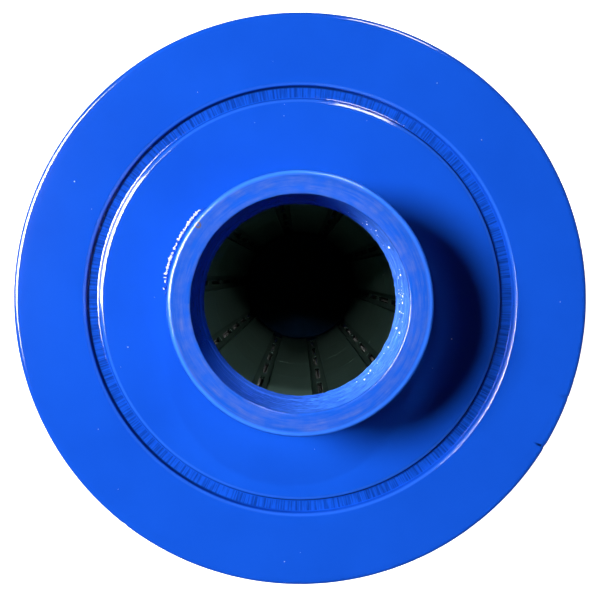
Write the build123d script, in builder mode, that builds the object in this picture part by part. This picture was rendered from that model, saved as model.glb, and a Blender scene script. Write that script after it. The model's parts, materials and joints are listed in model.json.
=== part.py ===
from build123d import *

import os

# Pleated filter cartridge with a hollow round fitting. All sizes are in millimetres.
# It stands on its closed end: the origin is the middle of that face, and +Z runs up the
# cartridge's axis to the open end of the fitting.

# Driving dimensions
BODY_LENGTH = 301.5  # from the face of one end cap to the face of the other
CAP_DIAMETER = 117.5
CAP_PLATE = 8.0  # thickness of a cap behind its face
CAP_HEIGHT = 15.0  # from a cap's face to the open edge of its skirt
CAP_WALL = 2.5  # thickness of the skirt
CAP_EDGE_RADIUS = 1.0
SPIGOT_DIAMETER = 48.3  # outside of 1-1/2 in pipe
SPIGOT_LENGTH = 25.0  # how far the spigot stands out of the cap's face
BORE_DIAMETER = 39.5
LIP_RADIUS = 0.9  # rounding of the spigot's outer edge
GROOVE_INNER_RADIUS = 40.9
GROOVE_OUTER_RADIUS = 44.1
GROOVE_DEPTH = 1.4
GROOVE_WALL_RUN = 0.6  # how far each sloping wall of the groove leans
CORE_INNER_RADIUS = 25.4
CORE_OUTER_RADIUS = 27.8
CORE_SECTIONS = 6
SLOT_COUNT = 10  # long slots round each section, each in a flute of the inner wall
SLOT_WIDTH = 1.4
SLOT_HEIGHT = 36.0
FLUTE_WIDTH = 4.4
FLUTE_DEPTH = 1.6
FIRST_SLOT = -78.0  # degrees from +X to one of the slots
PLEAT_INNER_RADIUS = 28.6
PLEAT_OUTER_RADIUS = 55.4
GRIP_RADIUS = 22.0  # finger recess in the closed end
GRIP_DEPTH = 24.0
GRIP_WALL = 2.6
HANDLE_WIDTH = 12.0
HANDLE_THICKNESS = 5.5
HANDLE_SETBACK = 1.0  # from the cap's face to the handle

# Sizes that follow from them
CAP_RADIUS = CAP_DIAMETER / 2
SPIGOT_RADIUS = SPIGOT_DIAMETER / 2
ROOT_RADIUS = SPIGOT_RADIUS + 0.4  # collar at the spigot's root, inside the cap
BORE_RADIUS = BORE_DIAMETER / 2
FACE_Z = BODY_LENGTH  # outer face of the fitting end's cap
UNDERSIDE_Z = FACE_Z - CAP_PLATE
SPIGOT_TOP_Z = FACE_Z + SPIGOT_LENGTH
SKIRT_INNER_RADIUS = CAP_RADIUS - CAP_WALL
PLEAT_HEIGHT = UNDERSIDE_Z - CAP_PLATE
SECTION_HEIGHT = PLEAT_HEIGHT / CORE_SECTIONS

# Half laps between the core's sections
LAP_HEIGHT = 5.0
LAP_SIDE_GAP = 0.1
LAP_END_GAP = 0.2
LAP_RADIUS = (CORE_INNER_RADIUS + CORE_OUTER_RADIUS) / 2
LUG_COUNT = 2
LUG_WIDTH = 4.0
LUG_HEIGHT = 2.4
LUG_REACH = 0.8  # how far a lug stands out of the lap
LUG_GAP = 0.2
LUG_LIFT = 2.4  # from the foot of the lap to the middle of a lug
LUG_ANGLE = FIRST_SLOT + 180 / SLOT_COUNT  # midway between two slots

# Foot of the adapter, inside the cap
FLANGE_RADIUS = 34.0
FLANGE_THICKNESS = 3.0
FLANGE_COVER = 1.2  # cast layer over the flange
FLANGE_HOLES = 8
FLANGE_HOLE_RADIUS = 1.7
FLANGE_HOLE_CIRCLE = 31.2
SOCKET_ROOF = 2.8  # from the cap's face down to the roof of the core's socket
SOCKET_RADIUS = LAP_RADIUS + LAP_SIDE_GAP
SOCKET_OUTER_RADIUS = 28.3

# Strip and straps round the pleats
CLIP_WIDTH = 2.2
CLIP_WALL = 0.5
CLIP_DEPTH = 10.0
CLIP_GAP = 0.2
CLIP_SETBACK = 0.8  # from the pleats' outer ends to the strip
BAND_WIDTH = 10.0
BAND_THICKNESS = 0.5
BAND_COUNT = 2

DRAFT = 0.3  # how much a cap's side leans in towards its face
MOUTH_CHAMFER = 0.3
GRIP_EDGE_RADIUS = 1.5
HANDLE_EDGE_RADIUS = 1.6
HANDLE_REACH = 29.0  # half the handle's length, ends buried in the cap included
ANCHOR_WIDTH = 18.0
ANCHOR_LENGTH = 4.0


def name_and_write(piece, name):
    """Label a finished piece and write it to its own STEP file."""
    piece.label = name
    export_step(piece, f"parts/{name}.step")


def half_section(*points):
    """Closed outline given as radius and height, for turning about the Z axis."""
    with BuildSketch(Plane.XZ) as outline:
        with BuildLine():
            Polyline(*points, close=True)
        make_face()
    return outline.sketch


def circles_at(edges, height):
    """The circles among some edges that lie at one height, smallest first."""
    circles = edges.filter_by(GeomType.CIRCLE)
    return circles.filter_by_position(Axis.Z, height, height).sort_by(SortBy.RADIUS)


def cap_section(face_z, inward):
    """Plate and skirt of a cap. inward is the direction of Z from its face into the cartridge."""
    return half_section(
        (0, face_z),
        (CAP_RADIUS - DRAFT, face_z),
        (CAP_RADIUS, face_z + inward * CAP_HEIGHT),
        (SKIRT_INNER_RADIUS, face_z + inward * CAP_HEIGHT),
        (SKIRT_INNER_RADIUS, face_z + inward * CAP_PLATE),
        (0, face_z + inward * CAP_PLATE),
    )


def groove_section(face_z, inward):
    """Ring groove with sloping walls, moulded into a cap's face."""
    floor_z = face_z + inward * GROOVE_DEPTH
    return half_section(
        (GROOVE_INNER_RADIUS, face_z),
        (GROOVE_INNER_RADIUS + GROOVE_WALL_RUN, floor_z),
        (GROOVE_OUTER_RADIUS - GROOVE_WALL_RUN, floor_z),
        (GROOVE_OUTER_RADIUS, face_z),
    )


def make_pipe_adapter():
    """Hollow male spigot with the flange and socket that are cast into the cap."""
    flange_top = FACE_Z - FLANGE_COVER
    flange_foot = flange_top - FLANGE_THICKNESS
    socket_roof = FACE_Z - SOCKET_ROOF
    pocket_reach = LUG_REACH + LUG_GAP
    with BuildPart() as adapter:
        outline = half_section(
            (BORE_RADIUS, SPIGOT_TOP_Z),
            (SPIGOT_RADIUS, SPIGOT_TOP_Z),
            (SPIGOT_RADIUS, FACE_Z),
            (ROOT_RADIUS, FACE_Z),
            (ROOT_RADIUS, flange_top),
            (FLANGE_RADIUS, flange_top),
            (FLANGE_RADIUS, flange_foot),
            (SOCKET_OUTER_RADIUS, flange_foot),
            (SOCKET_OUTER_RADIUS, UNDERSIDE_Z),
            (SOCKET_RADIUS, UNDERSIDE_Z),
            (SOCKET_RADIUS, socket_roof),
            (BORE_RADIUS, socket_roof),
        )
        revolve(outline, axis=Axis.Z)
        lip = circles_at(adapter.edges(), SPIGOT_TOP_Z)
        fillet(lip[-1], LIP_RADIUS)
        chamfer(lip[0], MOUTH_CHAMFER)
        with BuildSketch(Plane.XY.offset(flange_top)):
            with PolarLocations(FLANGE_HOLE_CIRCLE, FLANGE_HOLES):
                Circle(FLANGE_HOLE_RADIUS)
        extrude(amount=-FLANGE_THICKNESS, mode=Mode.SUBTRACT)
        with Locations((0, 0, UNDERSIDE_Z)):
            with PolarLocations(LAP_RADIUS, LUG_COUNT, LUG_ANGLE):
                Box(2 * pocket_reach, LUG_WIDTH + 2 * LUG_GAP, 2 * LAP_HEIGHT, mode=Mode.SUBTRACT)
    name_and_write(adapter.part, "pipe_adapter")
    return adapter.part


def make_fitting_end_cap(adapter):
    """Cap cast round the adapter, which locks it through the holes in its flange."""
    with BuildPart() as cap:
        revolve(cap_section(FACE_Z, -1), axis=Axis.Z)
        fillet(circles_at(cap.edges(), FACE_Z), CAP_EDGE_RADIUS)
        revolve(groove_section(FACE_Z, -1), axis=Axis.Z, mode=Mode.SUBTRACT)
        with BuildSketch(Plane.XY.offset(FACE_Z)):
            Circle(BORE_RADIUS)
        extrude(amount=-CAP_PLATE, mode=Mode.SUBTRACT)
        with BuildSketch(Plane.XY.offset(FACE_Z - SOCKET_ROOF)):
            Circle(SOCKET_OUTER_RADIUS)
        extrude(amount=SOCKET_ROOF - CAP_PLATE, mode=Mode.SUBTRACT)
        add(adapter, mode=Mode.SUBTRACT)
    name_and_write(cap.part, "fitting_end_cap")


def make_lift_handle():
    """Bar across the finger recess, with a wider anchor at each end inside the cap."""
    with BuildPart() as handle:
        with BuildSketch(Plane.XY.offset(HANDLE_SETBACK)):
            Rectangle(2 * HANDLE_REACH, HANDLE_WIDTH)
        extrude(amount=HANDLE_THICKNESS)
        fillet(handle.edges().filter_by(Axis.X), HANDLE_EDGE_RADIUS)
        with BuildSketch(Plane.XY.offset(HANDLE_SETBACK)):
            with GridLocations(2 * HANDLE_REACH - ANCHOR_LENGTH, 0, 2, 1):
                Rectangle(ANCHOR_LENGTH, ANCHOR_WIDTH)
        extrude(amount=HANDLE_THICKNESS)
    name_and_write(handle.part, "lift_handle")
    return handle.part


def make_closed_end_cap(handle):
    """Closed cap with a round finger recess, cast round the ends of the handle."""
    plug_top = CAP_PLATE + LAP_HEIGHT - LAP_END_GAP
    cup_top = GRIP_DEPTH + GRIP_WALL
    with BuildPart() as cap:
        revolve(cap_section(0, 1), axis=Axis.Z)
        fillet(circles_at(cap.edges(), 0), CAP_EDGE_RADIUS)
        revolve(groove_section(0, 1), axis=Axis.Z, mode=Mode.SUBTRACT)
        cup = half_section(
            (0, CAP_PLATE),
            (LAP_RADIUS - LAP_SIDE_GAP, CAP_PLATE),
            (LAP_RADIUS - LAP_SIDE_GAP, plug_top),
            (GRIP_RADIUS + GRIP_WALL, plug_top),
            (GRIP_RADIUS + GRIP_WALL, cup_top),
            (0, cup_top),
        )
        revolve(cup, axis=Axis.Z)
        with BuildSketch(Plane.XY):
            Circle(GRIP_RADIUS)
        extrude(amount=GRIP_DEPTH, mode=Mode.SUBTRACT)
        fillet(circles_at(cap.edges(), 0)[0], GRIP_EDGE_RADIUS)
        fillet(circles_at(cap.edges(), GRIP_DEPTH), GRIP_EDGE_RADIUS)
        fillet(circles_at(cap.edges(), cup_top), GRIP_EDGE_RADIUS)
        add(handle, mode=Mode.SUBTRACT)
    name_and_write(cap.part, "closed_end_cap")


def make_core_section(number):
    """One slotted, fluted tube of the core, with a lap and lugs on top and a lap pocket below."""
    foot = CAP_PLATE + number * SECTION_HEIGHT
    shoulder = foot + SECTION_HEIGHT
    pocket_roof = foot + LAP_HEIGHT + LAP_END_GAP
    slot_middle = (pocket_roof + shoulder) / 2
    wall = CORE_OUTER_RADIUS - CORE_INNER_RADIUS
    with BuildPart() as section:
        outline = half_section(
            (SOCKET_RADIUS, foot),
            (CORE_OUTER_RADIUS, foot),
            (CORE_OUTER_RADIUS, shoulder),
            (LAP_RADIUS, shoulder),
            (LAP_RADIUS, shoulder + LAP_HEIGHT),
            (CORE_INNER_RADIUS, shoulder + LAP_HEIGHT),
            (CORE_INNER_RADIUS, pocket_roof),
            (SOCKET_RADIUS, pocket_roof),
        )
        revolve(outline, axis=Axis.Z)
        with Locations((0, 0, slot_middle)):
            with PolarLocations(LAP_RADIUS, SLOT_COUNT, FIRST_SLOT):
                Box(2 * wall, SLOT_WIDTH, SLOT_HEIGHT, mode=Mode.SUBTRACT)
            with PolarLocations(CORE_INNER_RADIUS, SLOT_COUNT, FIRST_SLOT):
                Box(2 * FLUTE_DEPTH, FLUTE_WIDTH, 2 * SECTION_HEIGHT, mode=Mode.SUBTRACT)
        with Locations((0, 0, foot + LUG_LIFT)):
            with PolarLocations(CORE_OUTER_RADIUS, LUG_COUNT, LUG_ANGLE):
                Box(wall, LUG_WIDTH + 2 * LUG_GAP, LUG_HEIGHT + 2 * LUG_GAP, mode=Mode.SUBTRACT)
        with Locations((0, 0, shoulder + LUG_LIFT)):
            with PolarLocations(LAP_RADIUS, LUG_COUNT, LUG_ANGLE):
                Box(2 * LUG_REACH, LUG_WIDTH, LUG_HEIGHT)
    name_and_write(section.part, f"core_section_{number + 1}")


def make_pleated_media():
    """Pleats as a plain ring, open where the seam's strip sits."""
    seam_depth = CLIP_SETBACK + CLIP_DEPTH + CLIP_GAP
    with BuildPart() as media:
        with BuildSketch(Plane.XY.offset(CAP_PLATE)):
            Circle(PLEAT_OUTER_RADIUS)
            Circle(PLEAT_INNER_RADIUS, mode=Mode.SUBTRACT)
            with Locations((-PLEAT_OUTER_RADIUS, 0)):
                Rectangle(2 * seam_depth, CLIP_WIDTH + 2 * CLIP_GAP, mode=Mode.SUBTRACT)
        extrude(amount=PLEAT_HEIGHT)
    name_and_write(media.part, "pleated_media")


def make_seam_clip():
    """Strip of U section that is pressed over the two ends of the pleated sheet."""
    outer_x = CLIP_SETBACK - PLEAT_OUTER_RADIUS
    with BuildPart() as clip:
        with BuildSketch(Plane.XY.offset(CAP_PLATE)):
            with Locations((outer_x, 0)):
                Rectangle(CLIP_DEPTH, CLIP_WIDTH, align=(Align.MIN, Align.CENTER))
            with Locations((outer_x + CLIP_WALL, 0)):
                slot_width = CLIP_WIDTH - 2 * CLIP_WALL
                Rectangle(CLIP_DEPTH, slot_width, align=(Align.MIN, Align.CENTER), mode=Mode.SUBTRACT)
        extrude(amount=PLEAT_HEIGHT)
    name_and_write(clip.part, "seam_clip")


def make_pleat_band(number):
    """Strap round the pleats, its ends welded together."""
    middle = CAP_PLATE + PLEAT_HEIGHT * (number + 1) / (BAND_COUNT + 1)
    with BuildPart() as band:
        with BuildSketch(Plane.XY.offset(middle - BAND_WIDTH / 2)):
            Circle(PLEAT_OUTER_RADIUS + BAND_THICKNESS)
            Circle(PLEAT_OUTER_RADIUS, mode=Mode.SUBTRACT)
        extrude(amount=BAND_WIDTH)
    name_and_write(band.part, f"pleat_band_{number + 1}")


os.makedirs("parts", exist_ok=True)
adapter_solid = make_pipe_adapter()
make_fitting_end_cap(adapter_solid)
handle_solid = make_lift_handle()
make_closed_end_cap(handle_solid)
for section_number in range(CORE_SECTIONS):
    make_core_section(section_number)
make_pleated_media()
make_seam_clip()
for band_number in range(BAND_COUNT):
    make_pleat_band(band_number)
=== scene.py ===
import json
import math
import random

import bmesh
import bpy
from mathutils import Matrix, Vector, noise


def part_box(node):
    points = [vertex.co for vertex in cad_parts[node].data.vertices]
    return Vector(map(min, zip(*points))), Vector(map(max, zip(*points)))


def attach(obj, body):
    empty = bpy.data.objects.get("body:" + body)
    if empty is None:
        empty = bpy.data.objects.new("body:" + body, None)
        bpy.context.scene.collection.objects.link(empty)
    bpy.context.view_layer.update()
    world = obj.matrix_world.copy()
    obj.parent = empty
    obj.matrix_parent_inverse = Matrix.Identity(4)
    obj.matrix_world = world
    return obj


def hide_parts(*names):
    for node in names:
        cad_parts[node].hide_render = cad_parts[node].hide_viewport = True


# A pleated filter cartridge that stands on its closed end. All lengths are in metres;
# MM turns a size in millimetres into metres.
MM = 0.001
TURN = 2 * math.pi
random.seed(11)

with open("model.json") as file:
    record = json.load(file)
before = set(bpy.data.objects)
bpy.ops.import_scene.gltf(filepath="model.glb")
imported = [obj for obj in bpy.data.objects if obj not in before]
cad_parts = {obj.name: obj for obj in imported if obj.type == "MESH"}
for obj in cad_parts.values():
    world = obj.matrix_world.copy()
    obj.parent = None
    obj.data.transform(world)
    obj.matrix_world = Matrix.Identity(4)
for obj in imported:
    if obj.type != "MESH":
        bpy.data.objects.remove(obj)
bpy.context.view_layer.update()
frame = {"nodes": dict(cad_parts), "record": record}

# ---------------------------------------------------------------- places read from the frame

MOUNTS = {mount["name"]: mount for mount in frame["record"]["mounts"]}
CAP_LOW, CAP_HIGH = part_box("fitting_end_cap")
ADAPTER_LOW, ADAPTER_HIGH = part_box("pipe_adapter")
PLEAT_LOW, PLEAT_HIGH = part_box("pleated_media")
CLIP_LOW, CLIP_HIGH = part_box("seam_clip")
CORE_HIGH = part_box("core_section_1")[1]
FACE_Z = CAP_HIGH.z
SPIGOT_TOP = ADAPTER_HIGH.z
CAP_RADIUS = CAP_HIGH.x
CAP_DEPTH = CAP_HIGH.z - CAP_LOW.z
SPIGOT_RADIUS = MOUNTS["spigot"]["dims"]["r_mm"] * MM
BORE_RADIUS = MOUNTS["outlet_bore"]["dims"]["r_mm"] * MM
CORE_RADIUS = CORE_HIGH.x
FLANGE_RADIUS = ADAPTER_HIGH.x
PLEAT_RADIUS = PLEAT_HIGH.x
PLEAT_ROOT_RADIUS = CORE_RADIUS + 0.9 * MM

# Shapes that the frame doesn't give
EDGE_RADIUS = 1.0 * MM  # rounding of a cap's rim
LIP_RADIUS = 0.9 * MM  # rounding of the spigot's end
DRAFT = 0.3 * MM  # how much narrower a cap is at its face than at its skirt
FLANGE_TOP = FACE_Z - 1.2 * MM
FLANGE_FOOT = FACE_Z - 4.2 * MM
SOCKET_ROOF = FACE_Z - 2.8 * MM
SOCKET_RADIUS = 26.7 * MM
SOCKET_OUTER = 28.3 * MM
POTTING_DEPTH = 13.0 * MM  # how far from a cap's face the pleats go into the cast compound
CAP_TURNS = 960
ADAPTER_TURNS = 540

# The ring groove in a cap's face
GROOVE_IN = 40.1 * MM  # where the face starts to round down into the groove
GROOVE_OUT = 44.35 * MM
GROOVE_MIDDLE = 42.3 * MM
GROOVE_DEPTH = 1.2 * MM
GROOVE_FEET = (40.95 * MM, 43.42 * MM)  # where its two walls stand on its floor
GROOVE_BEVELS = (40.5 * MM, 43.95 * MM)

# The finger recess in the closed end
RECESS_RADIUS = 22 * MM
RECESS_DEPTH = 24 * MM
RECESS_WALL = 2.6 * MM
RECESS_ROUND = 1.5 * MM

# The pleated sheet
PLEATS = 130
PITCH = TURN / PLEATS  # the turn that one pleat takes up
CLOTH_THICKNESS = 0.42 * MM
STRAP_THICKNESS = 0.3 * MM


# ---------------------------------------------------------------- mesh helpers

def add_object(name, data):
    """Puts a mesh, light or camera in the scene."""
    added = bpy.data.objects.new(name, data)
    bpy.context.scene.collection.objects.link(added)
    return added


def make_piece(name, verts, faces, materials):
    """A smooth-shaded mesh that rides on the frame, with the materials given."""
    mesh = bpy.data.meshes.new(name)
    mesh.from_pydata(verts, [], faces)
    joined = bmesh.new()
    joined.from_mesh(mesh)
    bmesh.ops.remove_doubles(joined, verts=joined.verts, dist=1e-7)
    bmesh.ops.recalc_face_normals(joined, faces=joined.faces)
    joined.to_mesh(mesh)
    joined.free()
    mesh.shade_smooth()
    for made in materials:
        mesh.materials.append(made)
    piece = add_object(name, mesh)
    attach(piece, "root")
    return piece


def thicken(piece, thickness):
    """Gives a sheet its thickness, half to each side."""
    solid = piece.modifiers.new("thickness", "SOLIDIFY")
    solid.thickness = thickness
    solid.offset = 0


def arc(middle, radius, start, end, steps):
    """Points of (radius, height) round an arc, with its angles in degrees."""
    turns = [math.radians(start + (end - start) * i / steps) for i in range(steps + 1)]
    return [(middle[0] + radius * math.cos(t), middle[1] + radius * math.sin(t)) for t in turns]


def run(start, end, steps):
    """Points between two points of a profile, without the first one."""
    return [
        (start[0] + (end[0] - start[0]) * i / steps, start[1] + (end[1] - start[1]) * i / steps)
        for i in range(1, steps + 1)
    ]


def around(angle, radius, height):
    """The point at an angle round the axis and a distance from it."""
    return radius * math.cos(angle), radius * math.sin(angle), height


def skin(rows, size, closed):
    """Faces between rows of points that each go round; closed joins the last row to the first."""
    faces = []
    for row in range(rows if closed else rows - 1):
        here, there = row * size, (row + 1) % rows * size
        for i in range(size):
            j = (i + 1) % size
            faces.append((here + i, there + i, there + j, here + j))
    return faces


def grid(rows, width):
    """Faces of a sheet of points, row after row."""
    corners = [row * width + i for row in range(rows - 1) for i in range(width - 1)]
    return [(a, a + 1, a + width + 1, a + width) for a in corners]


def lathe(profile, turns, shape):
    """Turns a closed profile about Z. shape moves each point: shape(turn, angle, radius, height)."""
    verts = []
    for turn in range(turns):
        angle = TURN * turn / turns
        verts += [around(angle, *shape(turn, angle, *point)) for point in profile]
    return verts, skin(turns, len(profile), True)


def rough(angle, radius, height, grain, seed):
    """Smooth noise on a round surface, about -1 to 1; grain is the size of its lumps."""
    spot = Vector(around(angle, radius, height)) / grain
    return noise.noise(spot + Vector((seed, -seed, 2 * seed)))


def angle_between(a, b):
    """How far apart two angles are, 0 to half a turn."""
    return abs((a - b + math.pi) % TURN - math.pi)


# ---------------------------------------------------------------- material helpers

def new_material(name, colour, roughness, **sockets):
    """A Principled material. Extra values go to the shader's own sockets, with _ for a space."""
    made = bpy.data.materials.new(name)
    made.use_nodes = True
    shader = made.node_tree.nodes["Principled BSDF"]
    shader.inputs["Base Color"].default_value = (*colour, 1)
    shader.inputs["Roughness"].default_value = roughness
    for socket, value in sockets.items():
        shader.inputs[socket.replace("_", " ")].default_value = value
    return made


def add_node(made, kind, **settings):
    """A node of a kind, with its own settings."""
    node = made.node_tree.nodes.new(kind)
    for name, value in settings.items():
        setattr(node, name, value)
    return node


def link(made, source, target):
    """Joins an output to an input."""
    made.node_tree.links.new(source, target)


def place_of(made):
    """The surface's own place, in metres."""
    return add_node(made, "ShaderNodeTexCoord").outputs["Object"]


def noise_of(made, place, scale, detail=4.0, roughness=0.55, distortion=0.0):
    """Noise at a place, about 0.3 to 0.7."""
    node = add_node(made, "ShaderNodeTexNoise")
    for socket, value in (
        ("Scale", scale), ("Detail", detail), ("Roughness", roughness), ("Distortion", distortion)
    ):
        node.inputs[socket].default_value = value
    link(made, place, node.inputs["Vector"])
    return node.outputs["Fac"]


def levels(made, source, low, high, out_low=0.0, out_high=1.0):
    """Stretches a value from one range to another, and clamps it."""
    node = add_node(made, "ShaderNodeMapRange", clamp=True)
    for socket, value in zip(("From Min", "From Max", "To Min", "To Max"), (low, high, out_low, out_high)):
        node.inputs[socket].default_value = value
    link(made, source, node.inputs["Value"])
    return node.outputs["Result"]


def maths(made, operation, first, second=0):
    """One sum; each side is an output or a number."""
    node = add_node(made, "ShaderNodeMath", operation=operation)
    for socket, value in zip(node.inputs, (first, second)):
        if isinstance(value, (int, float)):
            socket.default_value = value
        else:
            link(made, value, socket)
    return node.outputs[0]


def band(made, source, middle, full, none, strength=1.0):
    """At its strength as far as full from a middle value, and nothing from none on."""
    away = maths(made, "ABSOLUTE", maths(made, "SUBTRACT", source, middle))
    return levels(made, away, full, none, strength, 0)


def facing(made, angle, side):
    """1 at a side, given in radians, through 0 to -1 opposite it."""
    return maths(made, "COSINE", maths(made, "SUBTRACT", angle, side))


def colour_mix(made, factor, first, second):
    """Blends two colours; each is an output or (r, g, b)."""
    node = add_node(made, "ShaderNodeMix", data_type="RGBA")
    link(made, factor, node.inputs[0])
    for socket, value in ((node.inputs[6], first), (node.inputs[7], second)):
        if isinstance(value, tuple):
            socket.default_value = (*value, 1)
        else:
            link(made, value, socket)
    return node.outputs[2]


def to_shader(made, socket, source):
    """Joins an output to one of the shader's own sockets."""
    link(made, source, made.node_tree.nodes["Principled BSDF"].inputs[socket])


def add_bump(made, height, distance, strength=1.0):
    """Bumps as high as distance, in metres."""
    node = add_node(made, "ShaderNodeBump")
    node.inputs["Strength"].default_value = strength
    node.inputs["Distance"].default_value = distance
    link(made, height, node.inputs["Height"])
    to_shader(made, "Normal", node.outputs["Normal"])


def ring_place(made):
    """The surface's own place as radius, angle and height, for marks that run round the axis."""
    split = add_node(made, "ShaderNodeSeparateXYZ")
    link(made, place_of(made), split.inputs[0])
    x, y, z = split.outputs
    flat = add_node(made, "ShaderNodeCombineXYZ")
    link(made, x, flat.inputs[0])
    link(made, y, flat.inputs[1])
    radius = add_node(made, "ShaderNodeVectorMath", operation="LENGTH")
    link(made, flat.outputs[0], radius.inputs[0])
    return radius.outputs["Value"], maths(made, "ARCTAN2", y, x), z


def streaks(made, radius, angle, height, across, along, scale):
    """Noise drawn out along circles round the axis."""
    joined = add_node(made, "ShaderNodeCombineXYZ")
    link(made, maths(made, "MULTIPLY", radius, across), joined.inputs[0])
    link(made, maths(made, "MULTIPLY", angle, along), joined.inputs[1])
    link(made, maths(made, "MULTIPLY", height, across), joined.inputs[2])
    return noise_of(made, joined.outputs[0], scale)


# ---------------------------------------------------------------- materials

GLOSSY_SKIN = {"Specular_IOR_Level": 0.0, "Coat_Weight": 0.8, "Coat_Roughness": 0.09, "Coat_IOR": 1.5}
BLUE = (0.0062, 0.083, 0.61)
BLUE_DEEP = (0.0052, 0.074, 0.56)
BLUE_SCUFFED = (0.005, 0.068, 0.44)
BLUE_WORN = (0.065, 0.11, 0.38)
# lit and shaded copies of the bore's blue: painted light and painted shade
BLUE_BORE_LIT = (0.05, 0.21, 0.95)
BLUE_BORE_HIGHLIGHT = (0.22, 0.45, 0.97)
BLUE_CHATTER = (0.003, 0.04, 0.3)
# painted shade for the feet of the groove's walls
BLUE_FOOT_SHADE = (0.0015, 0.02, 0.14)
# painted highlight along rounded edges and bevels
BLUE_EDGE_HIGHLIGHT = (0.03, 0.16, 0.8)
# painted shade deep in the pleats' roots
ROOT_SHADE = (0.07, 0.118, 0.098)
BLUE_SHADED = (0.003, 0.035, 0.26)
CORE_WALL = (0.16, 0.27, 0.225)
CORE_WALL_DARK = (0.135, 0.23, 0.19)
# painted shade for the core's flutes and slots
CORE_FLUTE_SHADE = (0.1, 0.175, 0.145)
CORE_SLOT_SHADE = (0.012, 0.02, 0.017)
STAIN = Vector((-18.3 * MM, 14.1 * MM, SPIGOT_TOP))  # a drop on the lip that dried to a brown ring
STAIN_RADIUS = 0.42 * MM
STAIN_BROWN = (0.1, 0.075, 0.03)
LIT_SIDE = 2.8  # radians, where most of the light comes from


def cap_material():
    """Cast polyurethane: even blue with faint clouding and a fine orange peel, marked in the groove."""
    made = new_material("cast_blue", BLUE, 0.5, **GLOSSY_SKIN)
    place = place_of(made)
    clouds = levels(made, noise_of(made, place, 55, 5), 0.35, 0.7)
    to_shader(made, "Base Color", groove_marks(made, colour_mix(made, clouds, BLUE, BLUE_DEEP)))
    to_shader(made, "Roughness", levels(made, noise_of(made, place, 240, 3), 0.3, 0.7, 0.45, 0.6))
    add_bump(made, noise_of(made, place, 900, 3), 0.02 * MM, 0.5)
    return made


def groove_marks(made, body):
    """Ticks on the groove floor, painted shade at its walls' unlit feet, painted highlight on its bevels."""
    radius, angle, height = ring_place(made)
    on_floor = band(made, radius, GROOVE_MIDDLE, 0.95 * MM, 1.05 * MM)
    ticks = levels(made, streaks(made, radius, angle, height, 90, 70, 1.6), 0.42, 0.62)
    body = colour_mix(made, maths(made, "MULTIPLY", on_floor, ticks), body, BLUE_CHATTER)
    lit = facing(made, angle, LIT_SIDE)
    # painted shade: darkens the foot of each groove wall on the side turned from the light
    for foot, shade_full, unshaded in zip(GROOVE_FEET, (-0.4, 0.2), (0.2, -0.4)):
        near_foot = band(made, radius, foot, 0.1 * MM, 0.32 * MM)
        foot_shade = maths(made, "MULTIPLY", near_foot, levels(made, lit, shade_full, unshaded, 1, 0))
        body = colour_mix(made, foot_shade, body, BLUE_FOOT_SHADE)
    # painted highlight: a pale band along each bevel
    for bevel in GROOVE_BEVELS:
        body = colour_mix(made, band(made, radius, bevel, 0.12 * MM, 0.36 * MM, 0.45), body, BLUE_EDGE_HIGHLIGHT)
    return body


def adapter_material():
    """The same blue, duller: its cut lip scuffed round and round, its bore torn, with painted light and
    shade.
    """
    dull_skin = {**GLOSSY_SKIN, "Coat_Weight": 0.45, "Coat_Roughness": 0.16}
    made = new_material("adapter_blue", BLUE, 0.5, **dull_skin)
    radius, angle, height = ring_place(made)
    scuffs = streaks(made, radius, angle, height, 900, 1.6, 2.2)
    blotches = noise_of(made, place_of(made), 420, 5)
    worn = maths(made, "MULTIPLY", levels(made, scuffs, 0.35, 0.72), levels(made, blotches, 0.25, 0.7))
    in_bore = levels(made, radius, BORE_RADIUS + 0.5 * MM, BORE_RADIUS + 0.9 * MM, 1, 0)
    body = colour_mix(made, in_bore, BLUE_DEEP, bore_colour(made, angle, worn))
    on_lip = levels(made, height, SPIGOT_TOP - 0.5 * MM, SPIGOT_TOP - 0.15 * MM)
    to_shader(made, "Base Color", colour_mix(made, on_lip, body, lip_colour(made, radius, worn)))
    to_shader(made, "Roughness", levels(made, on_lip, 0, 1, 0.5, 0.7))
    add_bump(made, maths(made, "ADD", scuffs, blotches), 0.03 * MM, 0.5)
    return made


def lip_colour(made, radius, worn):
    """The cut lip's colour, with a painted highlight along its outer edge and the stain's brown ring."""
    cut = colour_mix(made, worn, BLUE_SCUFFED, BLUE_WORN)
    # painted highlight along the lip's outer edge
    at_edge = levels(made, radius, SPIGOT_RADIUS - 1.1 * MM, SPIGOT_RADIUS - 0.6 * MM)
    cut = colour_mix(made, at_edge, cut, BLUE_EDGE_HIGHLIGHT)
    from_stain = add_node(made, "ShaderNodeVectorMath", operation="DISTANCE")
    link(made, place_of(made), from_stain.inputs[0])
    from_stain.inputs[1].default_value = STAIN
    on_ring = band(made, from_stain.outputs["Value"], STAIN_RADIUS, 0.1 * MM, 0.24 * MM, 0.8)
    return colour_mix(made, on_ring, cut, STAIN_BROWN)


def bore_colour(made, angle, worn):
    """The bore's colour: painted light with scuff noise on the lit side, painted shade on the other."""
    # painted light: paler toward the light, with scuff noise in it; painted shade away from it
    toward_light = levels(made, facing(made, angle, -0.1), 0.45, 0.95)
    wall = colour_mix(made, maths(made, "MULTIPLY", toward_light, worn), BLUE_BORE_LIT, BLUE_BORE_HIGHLIGHT)
    shaded = levels(made, facing(made, angle, -0.65), 0.1, -0.5)
    return colour_mix(made, shaded, wall, BLUE_SHADED)


def handle_material():
    """The same blue, a little smoother."""
    made = new_material("handle_blue", BLUE_DEEP, 0.5, **GLOSSY_SKIN)
    place = place_of(made)
    to_shader(made, "Roughness", levels(made, noise_of(made, place, 300), 0.3, 0.7, 0.32, 0.46))
    add_bump(made, noise_of(made, place, 2400, 2), 0.01 * MM, 0.5)
    return made


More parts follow.
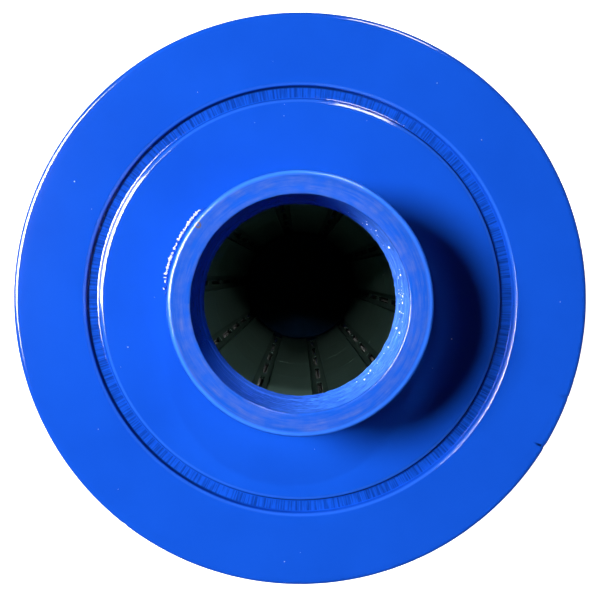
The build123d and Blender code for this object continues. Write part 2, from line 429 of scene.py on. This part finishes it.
def core_material():
    """Dull grey-green moulding with faint rings from its mould, and painted shade in its flutes and slots.
    """
    made = new_material("core_grey", (0.12, 0.2, 0.17), 0.6, Specular_IOR_Level=0.3)
    radius, angle, height = ring_place(made)
    rings = streaks(made, radius, angle, height, 500, 0.8, 1.5)
    wall = colour_mix(made, levels(made, rings, 0.3, 0.7), CORE_WALL, CORE_WALL_DARK)
    inner = CORE_RADIUS - 2.4 * MM
    # painted shade: half darker in the flutes, near black from the slots' sides outwards
    flute = levels(made, radius, inner + 0.2 * MM, inner + 0.9 * MM, 0, 0.5)
    wall = colour_mix(made, flute, wall, CORE_FLUTE_SHADE)
    slot = levels(made, radius, inner + 1.65 * MM, inner + 1.8 * MM)
    to_shader(made, "Base Color", colour_mix(made, slot, wall, CORE_SLOT_SHADE))
    add_bump(made, rings, 0.03 * MM, 0.6)
    return made


def cloth_material(name, colour, shade):
    """Spun-bonded polyester: tangled fibres and a grid of bonded dots, with painted shade near the core."""
    made = new_material(name, colour, 0.85, Sheen_Weight=0.25, Sheen_Roughness=0.5)
    place = place_of(made)
    fibres = noise_of(made, place, 2600, 6, 0.7, 1.5)
    lumps = noise_of(made, place, 140, 4)
    dots = add_node(made, "ShaderNodeTexVoronoi")
    dots.inputs["Scale"].default_value = 900
    link(made, place, dots.inputs["Vector"])
    bonded = levels(made, dots.outputs["Distance"], 0.15, 0.35)
    web = levels(made, fibres, 0.3, 0.6, 0.55, 1)
    tone = maths(made, "MULTIPLY", web, levels(made, lumps, 0.3, 0.7, 0.8, 1))
    # painted shade toward the pleats' roots, by the core
    unshaded = levels(made, ring_place(made)[0], PLEAT_ROOT_RADIUS + 1 * MM, PLEAT_ROOT_RADIUS + 9 * MM)
    to_shader(made, "Base Color", colour_mix(made, unshaded, ROOT_SHADE, colour_mix(made, tone, shade, colour)))
    add_bump(made, maths(made, "ADD", fibres, bonded), 0.06 * MM, 0.7)
    return made


def clip_material():
    """Pale moulded plastic."""
    made = new_material("clip_white", (0.72, 0.73, 0.72), 0.45)
    place = place_of(made)
    to_shader(made, "Roughness", levels(made, noise_of(made, place, 200), 0.3, 0.7, 0.38, 0.55))
    add_bump(made, noise_of(made, place, 1500, 2), 0.01 * MM, 0.5)
    return made


def torn_highlight_material():
    """Stretched, torn polyurethane turns pale; the pale is also a painted highlight."""
    made = new_material("torn_pale_highlight", (0.78, 0.88, 1.0), 0.35)
    place = place_of(made)
    patches = levels(made, noise_of(made, place, 2500), 0.4, 0.6)
    to_shader(made, "Base Color", colour_mix(made, patches, (0.45, 0.62, 0.98), (0.88, 0.93, 1.0)))
    add_bump(made, noise_of(made, place, 4000, 3), 0.05 * MM)
    return made


def dust_material():
    """Pale specks, thin enough to take on some of the blue."""
    made = new_material("dust_pale", (0.62, 0.72, 0.85), 0.8)
    place = place_of(made)
    shade = levels(made, noise_of(made, place, 3000), 0.3, 0.7)
    to_shader(made, "Base Color", colour_mix(made, shade, (0.2, 0.35, 0.75), (0.4, 0.55, 0.9)))
    return made


def inside_shade_material():
    """Painted shade on the closed end's inside: dark blue in random patches."""
    made = new_material("painted_shade_blue", (0.006, 0.025, 0.06), 0.8, Specular_IOR_Level=0.1)
    place = place_of(made)
    patches = levels(made, noise_of(made, place, 160), 0.3, 0.7)
    to_shader(made, "Base Color", colour_mix(made, patches, (0.004, 0.018, 0.045), (0.008, 0.03, 0.07)))
    return made


def floor_material():
    """A white light table round the cartridge, dark further off."""
    made = new_material("pale_floor", (0.82, 0.82, 0.82), 0.7, Emission_Color=(1, 1, 1, 1))
    shade = levels(made, noise_of(made, place_of(made), 6, 3), 0.3, 0.7)
    paper = colour_mix(made, shade, (0.9, 0.9, 0.9), (0.86, 0.86, 0.86))
    far = levels(made, ring_place(made)[0], 0.28, 0.42)
    to_shader(made, "Base Color", colour_mix(made, far, paper, (0.12, 0.12, 0.12)))
    to_shader(made, "Emission Strength", levels(made, far, 0, 1, 1.0, 0.0))
    return made


CAP = cap_material()
INSIDE_SHADE = inside_shade_material()
ADAPTER = adapter_material()
HANDLE = handle_material()
CORE = core_material()
CLOTH = cloth_material("spunbond_white", (0.83, 0.85, 0.86), (0.7, 0.73, 0.75))
STRAP = cloth_material("strap_white", (0.8, 0.82, 0.84), (0.66, 0.69, 0.72))
CLIP = clip_material()
TORN_PALE_HIGHLIGHT = torn_highlight_material()
DUST = dust_material()


# ---------------------------------------------------------------- end caps

# Nicks in a rim: degrees round the axis, width and bite in millimetres
NICKS = [(-31, 0.4, 0.24), (-20, 0.3, 0.16), (-16, 0.25, 0.1), (11, 0.3, 0.12), (232, 0.4, 0.14)]


def groove_profile():
    """The ring groove from its inner to its outer shoulder, both bevelled, heights counted from the face."""
    floor = -GROOVE_DEPTH
    return (
        arc((GROOVE_IN, -0.5 * MM), 0.5 * MM, 90, 66, 3)
        + run((GROOVE_IN + 0.25 * MM, -0.07 * MM), (GROOVE_IN + 0.7 * MM, -0.27 * MM), 3)
        + run((GROOVE_IN + 0.73 * MM, -0.33 * MM), (GROOVE_IN + 1.1 * MM, floor + 0.05 * MM), 5)
        + run((GROOVE_IN + 1.13 * MM, floor), (GROOVE_IN + 1.16 * MM, floor), 1)
        + run((GROOVE_IN + 1.2 * MM, floor), (GROOVE_OUT - 1.02 * MM, floor), 7)
        + run((GROOVE_OUT - 1.0 * MM, floor), (GROOVE_OUT - 0.98 * MM, floor), 1)
        + run((GROOVE_OUT - 0.96 * MM, floor + 0.02 * MM), (GROOVE_OUT - 0.72 * MM, -0.32 * MM), 5)
        + run((GROOVE_OUT - 0.68 * MM, -0.28 * MM), (GROOVE_OUT - 0.25 * MM, -0.07 * MM), 3)
        + arc((GROOVE_OUT, -0.5 * MM), 0.5 * MM, 114, 90, 3)
    )


def cap_outside_profile(hub_radius):
    """A cap's face, groove, rim and skirt, from the hub outwards, heights counted from the face."""
    rim = CAP_RADIUS - DRAFT
    return (
        run((hub_radius, 0), (GROOVE_IN, 0), 9)
        + groove_profile()
        + run((GROOVE_OUT, 0), (rim - EDGE_RADIUS, 0), 7)
        + arc((rim - EDGE_RADIUS, -EDGE_RADIUS), EDGE_RADIUS, 84, 4, 8)
        + run((rim, -EDGE_RADIUS), (CAP_RADIUS, 0.7 * MM - CAP_DEPTH), 8)
        + arc((CAP_RADIUS - 0.6 * MM, 0.6 * MM - CAP_DEPTH), 0.6 * MM, -10, -90, 4)
        + run((CAP_RADIUS - 0.6 * MM, -CAP_DEPTH), (CAP_RADIUS - 1.6 * MM, -CAP_DEPTH), 1)
        + arc((CAP_RADIUS - 1.8 * MM, 0.5 * MM - CAP_DEPTH), 0.5 * MM, -100, -180, 3)
        + arc((CAP_RADIUS - 3.4 * MM, 1.1 * MM - CAP_DEPTH), 1.1 * MM, 0, 90, 4)
        + run((CAP_RADIUS - 3.6 * MM, -POTTING_DEPTH), (SOCKET_OUTER + 0.4 * MM, -POTTING_DEPTH), 6)
    )


def nicked(angle, radius, depth):
    """A rim point's radius once the nicks are bitten out of it; they run out further down."""
    for bearing, width, bite in NICKS:
        gap = angle_between(angle, math.radians(bearing)) * radius / (width * MM)
        radius -= bite * MM * math.exp(-gap * gap) * max(0.0, 1 - depth / (2.4 * MM))
    return radius


def cap_shape(face_z, inward):
    """Moves a cap's lathe points: the unevenness of a cast face, chatter in the groove, nicks in the rim."""
    chatter = [0.0]
    for _ in range(CAP_TURNS):
        chatter.append(0.35 * chatter[-1] + random.uniform(-1, 1))
    rim = CAP_RADIUS - DRAFT - EDGE_RADIUS

    def shape(turn, angle, radius, height):
        """Where a point of the lathe's profile, its height counted from the face, comes to."""
        depth = -height
        if depth < 0.9 * MM:
            height += 0.035 * MM * rough(angle, radius, 0, 14 * MM, 3)
            height += 0.006 * MM * rough(angle, radius, 0, 1.6 * MM, 5)
        if GROOVE_IN + 1.4 * MM < radius < GROOVE_OUT - 1.1 * MM and depth < 2 * MM:
            height += 0.02 * MM * chatter[turn]
            radius += 0.02 * MM * chatter[turn]
        if GROOVE_IN - 1 * MM < radius < GROOVE_OUT + 1 * MM and depth < 2 * MM:
            radius += 0.03 * MM * rough(angle, 3 * MM, 0, 1.6 * MM, 9)
        if radius > rim and depth < 3 * MM:
            radius += 0.012 * MM * rough(angle, radius, 0, 2.5 * MM, 13)
            radius = nicked(angle, radius, depth)
        return radius, face_z - inward * height

    return shape


def make_fitting_cap():
    """Cap at the fitting end, cast round the adapter's flange."""
    hub = SPIGOT_RADIUS + 0.02 * MM
    profile = arc((hub + 0.5 * MM, 0.5 * MM), 0.5 * MM, 180, 265, 5)
    profile += cap_outside_profile(hub + 0.5 * MM)
    flange_top, flange_foot = FLANGE_TOP - FACE_Z, FLANGE_FOOT - FACE_Z
    profile += [
        (SOCKET_OUTER, -POTTING_DEPTH), (SOCKET_OUTER, flange_foot), (FLANGE_RADIUS, flange_foot),
        (FLANGE_RADIUS, flange_top), (hub, flange_top), (hub, 0.3 * MM),
    ]
    verts, faces = lathe(profile, CAP_TURNS, cap_shape(FACE_Z, -1))
    piece = make_piece("cast_fitting_cap", verts, faces, [CAP])
    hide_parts("fitting_end_cap")


def recess_profile():
    """The finger recess, from its middle out to the face, heights counted from the face."""
    corner = RECESS_RADIUS - RECESS_ROUND
    return (
        [(0, -RECESS_DEPTH)]
        + run((0, -RECESS_DEPTH), (corner, -RECESS_DEPTH), 5)
        + arc((corner, RECESS_ROUND - RECESS_DEPTH), RECESS_ROUND, -80, -10, 4)
        + run((RECESS_RADIUS, RECESS_ROUND - RECESS_DEPTH), (RECESS_RADIUS, -RECESS_ROUND), 6)
        + arc((RECESS_RADIUS + RECESS_ROUND, -RECESS_ROUND), RECESS_ROUND, 170, 95, 5)
    )


def inside_profile():
    """The closed cap's inside, from the core's seat in to the back of the recess."""
    seat_outer, seat_inner = CORE_RADIUS + 0.1 * MM, 26.4 * MM
    seat_depth = 8 * MM
    cup = RECESS_RADIUS + RECESS_WALL
    cup_foot = (cup, -12.8 * MM)
    cup_top = RECESS_ROUND - RECESS_DEPTH - RECESS_WALL
    return (
        [(SOCKET_OUTER, -POTTING_DEPTH), (seat_outer, -POTTING_DEPTH), (seat_outer, -seat_depth)]
        + [(seat_inner, -seat_depth), (seat_inner, -12.6 * MM), cup_foot]
        + run(cup_foot, (cup, cup_top), 4)
        + arc((cup - RECESS_ROUND, cup_top), RECESS_ROUND, -10, -80, 4)
        + run((cup - RECESS_ROUND, -RECESS_DEPTH - RECESS_WALL), (0, -RECESS_DEPTH - RECESS_WALL), 4)
    )


def make_closed_cap():
    """Cap at the closed end, with its round finger recess, and painted shade on its inside."""
    profile = recess_profile() + cap_outside_profile(RECESS_RADIUS + RECESS_ROUND) + inside_profile()
    verts, faces = lathe(profile, CAP_TURNS // 2, cap_shape(0, 1))
    piece = make_piece("cast_closed_cap", verts, faces, [CAP, INSIDE_SHADE])
    for face in piece.data.polygons:
        middle = face.center
        radius = math.hypot(middle.x, middle.y)
        # painted shade on the inside faces, seen far down the core
        in_socket = RECESS_RADIUS + 1 * MM < radius < SOCKET_OUTER + 5 * MM and middle.z > 6 * MM
        if in_socket or middle.z > RECESS_DEPTH + 0.5 * RECESS_WALL:
            face.material_index = 1
    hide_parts("closed_end_cap")


# ---------------------------------------------------------------- adapter

TORN_BORE = 27.5 * MM  # how far down from the lip the bore is torn
MOULD_LINES = (0.35, 0.35 + math.pi)  # radians
FLASH_START = math.radians(133)
FLASH_END = math.radians(179)
FLASH_STEPS = 190
# Round the fin of flash, root and edge: shares of how far it stands out and how far it curls up
FLASH_OUTLINE = [
    (-0.35, -0.5), (0.0, -0.62), (0.5, -0.5), (0.85, -0.2), (1.0, 0.12),
    (0.9, 0.3), (0.72, 0.18), (0.5, -0.1), (0.1, -0.32), (-0.35, -0.3),
]
# Scraped patches of the bore's wall: degrees round the axis, spread in degrees, chips
SCRAPES = [(-4, 13, 32), (48, 9, 11), (-42, 12, 10)]
CHIP_SIZES = (0.1, 0.13, 0.18, 0.26)  # millimetres
DUST_SIZES = (0.07, 0.09, 0.12, 0.17)


def bore_roughness(angle, height):
    """How far the bore's wall stands in or out: torn rings and blotches left by its mandrel."""
    down = SPIGOT_TOP - height
    middle = 20 * MM
    wave = rough(angle, middle, height, 9 * MM, 21)
    wide_rings = (down / (2.6 * MM) + 0.3 * wave) % 1
    fine_rings = (down / (1.7 * MM) - 0.4 * wave + 0.3) % 1
    rings = 0.6 * wide_rings + 0.4 * fine_rings
    torn_side = 0.3 + 0.7 * math.exp(-(angle_between(angle, math.radians(-25)) / 1.1) ** 2)
    blotches = rough(angle, middle, height, 1.5 * MM, 25) + 0.6 * rough(angle, middle, height, 0.8 * MM, 29)
    notch = 0.4 * math.exp(-((down - 21 * MM - 0.6 * wave * MM) / (0.9 * MM)) ** 2)
    return (torn_side * (0.34 * (rings - 0.5) + 0.2 * blotches) + notch) * MM


def adapter_shape(turn, angle, radius, height):
    """Moves the adapter's lathe points: a hand-trimmed lip, a torn bore, faint mould lines outside."""
    down = SPIGOT_TOP - height
    if radius < BORE_RADIUS + 0.4 * MM and down < TORN_BORE:
        fade = min(1.0, max(0.0, (down - 0.1 * MM) / (1.2 * MM)))
        radius += (0.25 + 0.75 * fade) * bore_roughness(angle, height)
    if down < 0.6 * MM:
        height += 0.05 * MM * rough(angle, radius, 0, 7 * MM, 31) - 0.02 * MM
        height += 0.02 * MM * rough(angle, radius, 0, 0.9 * MM, 33)
        radius += 0.04 * MM * rough(angle, radius, 0, 2.2 * MM, 35)
    if radius > SPIGOT_RADIUS - 0.2 * MM and 1 * MM < down < 26 * MM:
        radius += 0.015 * MM * rough(angle, radius, height, 5 * MM, 37) - 0.01 * MM
        for seam in MOULD_LINES:
            gap = angle_between(angle, seam) * radius / (0.3 * MM)
            radius += 0.07 * MM * math.exp(-gap * gap)
    return radius, height


def make_adapter():
    """Hollow male spigot with its flange and socket."""
    top, lip_r = SPIGOT_TOP, LIP_RADIUS
    profile = run((BORE_RADIUS + 0.25 * MM, top), (SPIGOT_RADIUS - lip_r, top), 7)
    profile += arc((SPIGOT_RADIUS - lip_r, top - lip_r), lip_r, 80, 0, 8)
    profile += run((SPIGOT_RADIUS, top - lip_r), (SPIGOT_RADIUS, FLANGE_TOP), 22)
    profile += [(FLANGE_RADIUS, FLANGE_TOP), (FLANGE_RADIUS, FLANGE_FOOT), (SOCKET_OUTER, FLANGE_FOOT)]
    profile += [(SOCKET_OUTER, ADAPTER_LOW.z), (SOCKET_RADIUS, ADAPTER_LOW.z), (SOCKET_RADIUS, SOCKET_ROOF)]
    profile += run((SOCKET_RADIUS, SOCKET_ROOF), (BORE_RADIUS + 0.3 * MM, SOCKET_ROOF), 3)
    profile += run((BORE_RADIUS, SOCKET_ROOF), (BORE_RADIUS, top - 0.5 * MM), 96)
    profile += arc((BORE_RADIUS + 0.3 * MM, top - 0.3 * MM), 0.3 * MM, 170, 100, 3)
    verts, faces = lathe(profile, ADAPTER_TURNS, adapter_shape)
    piece = make_piece("trimmed_pipe_adapter", verts, faces, [ADAPTER])
    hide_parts("pipe_adapter")


def flash_ribs():
    """The fin's angle, reach and curl at each step along it: ragged, with stretches torn off."""
    ribs = []
    tear = 0.7
    for step in range(FLASH_STEPS + 1):
        share = step / FLASH_STEPS
        tear = 0.45 * tear + 0.55 * random.uniform(-0.1, 1.4)
        ends = min(1.0, 9 * share, 7 * (1 - share))
        torn_off = noise.noise(Vector((step * 0.21, 3.7, 0.0))) < -0.3
        reach = (0.25 if torn_off else 0.55 + 0.5 * tear) * ends * MM
        curl = (0.2 + 0.55 * tear) * MM
        ribs.append((FLASH_START + (FLASH_END - FLASH_START) * share, reach, curl))
    return ribs


def make_torn_flash():
    """Ragged fin of torn flash that stands out just under the lip, on one side."""
    verts = []
    for angle, reach, curl in flash_ribs():
        for out, up in FLASH_OUTLINE:
            radius = SPIGOT_RADIUS - 0.12 * MM + out * reach
            verts.append(around(angle, radius, SPIGOT_TOP - 0.85 * MM + up * curl))
    size = len(FLASH_OUTLINE)
    faces = skin(FLASH_STEPS + 1, size, False)
    faces.append(tuple(range(size)))
    faces.append(tuple(reversed(range(FLASH_STEPS * size, (FLASH_STEPS + 1) * size))))
    piece = make_piece("torn_flash", verts, faces, [ADAPTER, TORN_PALE_HIGHLIGHT])
    for face in piece.data.polygons:
        middle = face.center
        # the flash's outer edge: whitened by tearing, and a painted highlight
        if math.hypot(middle.x, middle.y) > SPIGOT_RADIUS + 0.42 * MM:
            face.material_index = 1


def make_flakes(name, flakes, material):
    """Small squashed grains; each flake is (place, size)."""
    made = bmesh.new()
    for place, size in flakes:
        grain = bmesh.ops.create_icosphere(made, subdivisions=1, radius=size)["verts"]
        for vert in grain:
            vert.co *= random.uniform(0.6, 1.2)
            vert.co.z *= 0.6
        bmesh.ops.translate(made, verts=grain, vec=place)
    mesh = bpy.data.meshes.new(name)
    made.to_mesh(mesh)
    made.free()
    mesh.materials.append(material)
    piece = add_object(name, mesh)
    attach(piece, "root")


def make_bore_chips():
    """Bright chips on the bore's lit side where it was scraped; their pale is partly a painted highlight."""
    flakes = []
    for middle, spread, count in SCRAPES:
        for _ in range(count):
            angle = math.radians(random.gauss(middle, spread))
            down = random.uniform(9, 21) * MM
            place = Vector(around(angle, BORE_RADIUS - 0.02 * MM, SPIGOT_TOP - down))
            flakes.append((place, random.choice(CHIP_SIZES) * MM))
    make_flakes("bore_chips", flakes, TORN_PALE_HIGHLIGHT)


def make_dust():
    """Flakes of dust and tiny chips lying on the cap's face."""
    flakes = []
    for _ in range(24):
        angle = random.uniform(0, TURN)
        radius = math.sqrt(random.uniform(0.2, 1)) * (CAP_RADIUS - 2 * MM)
        if GROOVE_IN < radius < GROOVE_OUT or radius < SPIGOT_RADIUS + 2 * MM:
            continue
        size = random.choice(DUST_SIZES) * MM
        flakes.append((Vector(around(angle, radius, FACE_Z + 0.25 * size)), size))
    make_flakes("dust_flakes", flakes, DUST)


# ---------------------------------------------------------------- pleats, straps, core

def pleat_rows():
    """Heights of the cloth's rows of points, closer together at both ends."""
    rows = 34
    low, high = PLEAT_LOW.z, PLEAT_HIGH.z
    return [low + (high - low) * (0.5 - 0.5 * math.cos(math.pi * i / rows)) for i in range(rows + 1)]


def pleat_sizes():
    """Each pleat's tip radius, lean and root radius; no two are quite alike."""
    sizes = []
    for _ in range(PLEATS):
        tip = PLEAT_RADIUS - random.uniform(0.1, 0.75) * MM
        lean = random.uniform(-0.14, 0.14) * PITCH
        root = PLEAT_ROOT_RADIUS + random.uniform(0.1, 0.5) * MM
        sizes.append((tip, lean, root))
    return sizes


def crest_points(pleat, root, tip, lean):
    """Over one pleat's tip, from halfway up one side to halfway down the other."""
    middle = (tip + root) / 2
    crest = [
        (middle, -0.42, 0.5), (tip - 0.6 * MM, -0.6, 1.0), (tip - 0.18 * MM, -0.42, 1.0), (tip, 0.0, 1.0),
        (tip - 0.18 * MM, 0.42, 1.0), (tip - 0.6 * MM, 0.6, 1.0), (middle, 0.42, 0.5),
    ]
    return [(pleat, 1.0 + lean / PITCH * free, radius, offset * MM, free) for radius, offset, free in crest]


def sheet_outline():
    """The sheet seen from its end, to and fro from one side of the seam clip round to the other.

    Each point is (pleat, share of a pitch, radius, offset along the turn, how free it is to sway).
    """
    sizes = pleat_sizes()
    seam_depth = CLIP_HIGH.x - CLIP_LOW.x
    in_clip = [(-CLIP_LOW.x - 1.2 * MM, 0.27 * MM), (-CLIP_LOW.x - seam_depth, 0.3 * MM)]
    outline = [(0, 0.0, radius, offset, 0.0) for radius, offset in in_clip]
    for pleat in range(PLEATS):
        root = sizes[pleat][2]
        folded = [(root + 0.3 * MM, -0.3), (root, 0.0), (root + 0.3 * MM, 0.3)]
        outline += [(pleat, 0.5, radius, offset * MM, 0.0) for radius, offset in folded]
        if pleat < PLEATS - 1:
            tip, lean, _ = sizes[pleat + 1]
            outline += crest_points(pleat, root, tip, lean)
    outline += [(PLEATS, 0.0, radius, -offset, 0.0) for radius, offset in reversed(in_clip)]
    return outline


def cloth_point(height, held, point):
    """Where a point of the outline lies at a height; the cloth sways where nothing holds it."""
    pleat, share, radius, offset, free = point
    sway = noise.noise(Vector((pleat * 0.42, height * 26, 0.3))) * 0.8 * MM
    sway += noise.noise(Vector((pleat * 0.9, height * 70, 5.3))) * 0.3 * MM
    pull = noise.noise(Vector((pleat * 0.6, height * 40, 9.1))) * 0.25 * MM
    angle = math.pi + (pleat + share) * PITCH + (offset + sway * free * held) / radius
    return around(angle, radius + pull * free * held, height)


def make_pleats():
    """One sheet of cloth folded to and fro between the core and the caps' skirts, seamed at the clip."""
    outline = sheet_outline()
    rows = pleat_rows()
    low, high = rows[0], rows[-1]
    verts = []
    for height in rows:
        held = min(1.0, (height - low) / (25 * MM), (high - height) / (25 * MM))
        verts += [cloth_point(height, held, point) for point in outline]
    width = len(outline)
    piece = make_piece("pleated_cloth", verts, grid(len(rows), width), [CLOTH])
    thicken(piece, CLOTH_THICKNESS)
    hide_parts("pleated_media")


def make_strap(number):
    """Strap round the pleats, pulled straight from tip to tip, its end welded over its start."""
    low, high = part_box(f"pleat_band_{number}")
    overlap, rows = 9, 4
    count = 2 * (PLEATS + overlap)
    verts = []
    for row in range(rows + 1):
        height = low.z + (high.z - low.z) * row / rows
        for step in range(count + 1):
            angle = math.radians(200) + step * PITCH / 2
            crest = 0.1 * MM if step % 2 == 0 else -0.06 * MM
            lift = 0.45 * MM * min(1.0, max(0.0, (step - 2 * PLEATS + 6) / 6))
            fray = 0.12 * MM * noise.noise(Vector((step * 0.31, row * 0.2, number)))
            ragged = fray if row in (0, rows) else 0.0
            verts.append(around(angle, PLEAT_RADIUS + crest + lift, height + ragged))
    piece = make_piece(f"pleat_strap_{number}", verts, grid(rows + 1, count + 1), [STRAP])
    thicken(piece, STRAP_THICKNESS)
    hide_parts(f"pleat_band_{number}")


def finish_cad_nodes():
    """Better materials on the CAD nodes that stay."""
    finishes = {"core_section": CORE, "lift_handle": HANDLE, "seam_clip": CLIP}
    for name, node in frame["nodes"].items():
        for start, finish in finishes.items():
            if name.startswith(start):
                for place in node.material_slots:
                    place.material = finish


# ---------------------------------------------------------------- studio

LIP_DISTANCE = 187.6 * MM  # from the spigot's end to the camera
FOCAL_MM = 62.7
CAMERA_SHIFT = Vector((0.0, 5.12 * MM, 0.0))  # off the cartridge's axis
CAMERA_TILT = -1.365  # degrees
# Narrow lights down the bore: degrees from straight up, compass angle from +X, watts
SNOOTS = [(10.4, 45, 3.4), (8.5, 90, 2.6), (10.4, 135, 4.0), (28, 82, 5.0)]
WASHES = (20, 110, 200, 290)  # compass angles of the low, weak lights on the cartridge's side
FLOOR_REACH = 3.0
FLOOR_RINGS = 12
FLOOR_TURNS = 64


def make_camera():
    """Looks straight down on the fitting end, from close by."""
    data = bpy.data.cameras.new("camera")
    data.lens = FOCAL_MM
    data.sensor_width = 36
    data.clip_start = 0.01
    camera = add_object("camera", data)
    camera.location = Vector((0, 0, SPIGOT_TOP + LIP_DISTANCE)) + CAMERA_SHIFT
    camera.rotation_euler = (math.radians(CAMERA_TILT), 0, 0)
    bpy.context.scene.camera = camera


def make_light(name, kind, target, away, bearing, distance, power, **settings):
    """A light aimed at a point. away is its angle from straight up, bearing its compass angle from +X."""
    data = bpy.data.lights.new(name, kind)
    data.energy = power
    for setting, value in settings.items():
        setattr(data, setting, value)
    light = add_object(name, data)
    a, b = math.radians(away), math.radians(bearing)
    back = Vector((math.sin(a) * math.cos(b), math.sin(a) * math.sin(b), math.cos(a)))
    light.location = target + distance * back
    light.rotation_mode = "QUATERNION"
    light.rotation_quaternion = (-back).to_track_quat("-Z", "Y")
    light.visible_camera = False
    return light


def make_glint(name, target, away, bearing, distance, power, width, height):
    """A card that is seen only in reflections, for the pale lines along rounded edges."""
    card = make_light(
        name, "AREA", target, away, bearing, distance, power, shape="RECTANGLE", size=width, size_y=height
    )
    card.visible_diffuse = False


def make_lights():
    """One key light, narrow lights for the bore, a weak wash for the side, and cards for the glints."""
    face = Vector((0, 0, FACE_Z))
    mouth = Vector((0, 0, SPIGOT_TOP))
    foot = Vector((0, 0, 0.06))
    make_light("key", "AREA", face, 34.1, 163.8, 0.75, 9.15, shape="DISK", size=0.231)
    for away, bearing, power in SNOOTS:
        snoot = make_light(
            "bore_snoot", "SPOT", mouth, away, bearing, 0.45, power,
            spot_size=math.radians(4.9), spot_blend=0.1, shadow_soft_size=0.011,
        )
        snoot.visible_glossy = False
    for bearing in WASHES:
        wash = make_light(
            "side_wash", "AREA", foot, 81, bearing, 0.9, 1.5, shape="RECTANGLE", size=0.5, size_y=0.1
        )
        wash.visible_glossy = False
    make_glint("left_card", face, 47, 163, 0.8, 43, 0.5, 0.6)
    make_glint("top_card", face, 50, 71, 0.8, 6, 0.2, 0.35)


def make_world():
    """A faint cool fill from all round."""
    world = bpy.data.worlds.new("studio")
    world.use_nodes = True
    world.node_tree.nodes["Background"].inputs["Color"].default_value = (0.75, 0.88, 1.0, 1)
    world.node_tree.nodes["Background"].inputs["Strength"].default_value = 0.02
    bpy.context.scene.world = world


def make_floor():
    """A round floor, finer towards its middle."""
    verts, faces = [], []
    for ring in range(1, FLOOR_RINGS + 1):
        radius = FLOOR_REACH * (ring / FLOOR_RINGS) ** 2
        verts += [around(TURN * turn / FLOOR_TURNS, radius, 0) for turn in range(FLOOR_TURNS)]
    for ring in range(FLOOR_RINGS - 1):
        for turn in range(FLOOR_TURNS):
            here, there = ring * FLOOR_TURNS + turn, ring * FLOOR_TURNS + (turn + 1) % FLOOR_TURNS
            faces.append((here, there, there + FLOOR_TURNS, here + FLOOR_TURNS))
    faces.append(tuple(range(FLOOR_TURNS)))
    mesh = bpy.data.meshes.new("floor")
    mesh.from_pydata(verts, [], faces)
    mesh.materials.append(floor_material())
    floor = add_object("floor", mesh)


# ---------------------------------------------------------------- build

bpy.context.scene.view_settings.view_transform = "Standard"
make_camera()
make_lights()
make_world()
make_floor()
make_fitting_cap()
make_closed_cap()
make_adapter()
make_torn_flash()
make_bore_chips()
make_dust()
make_pleats()
for strap_number in (1, 2):
    make_strap(strap_number)
finish_cad_nodes()
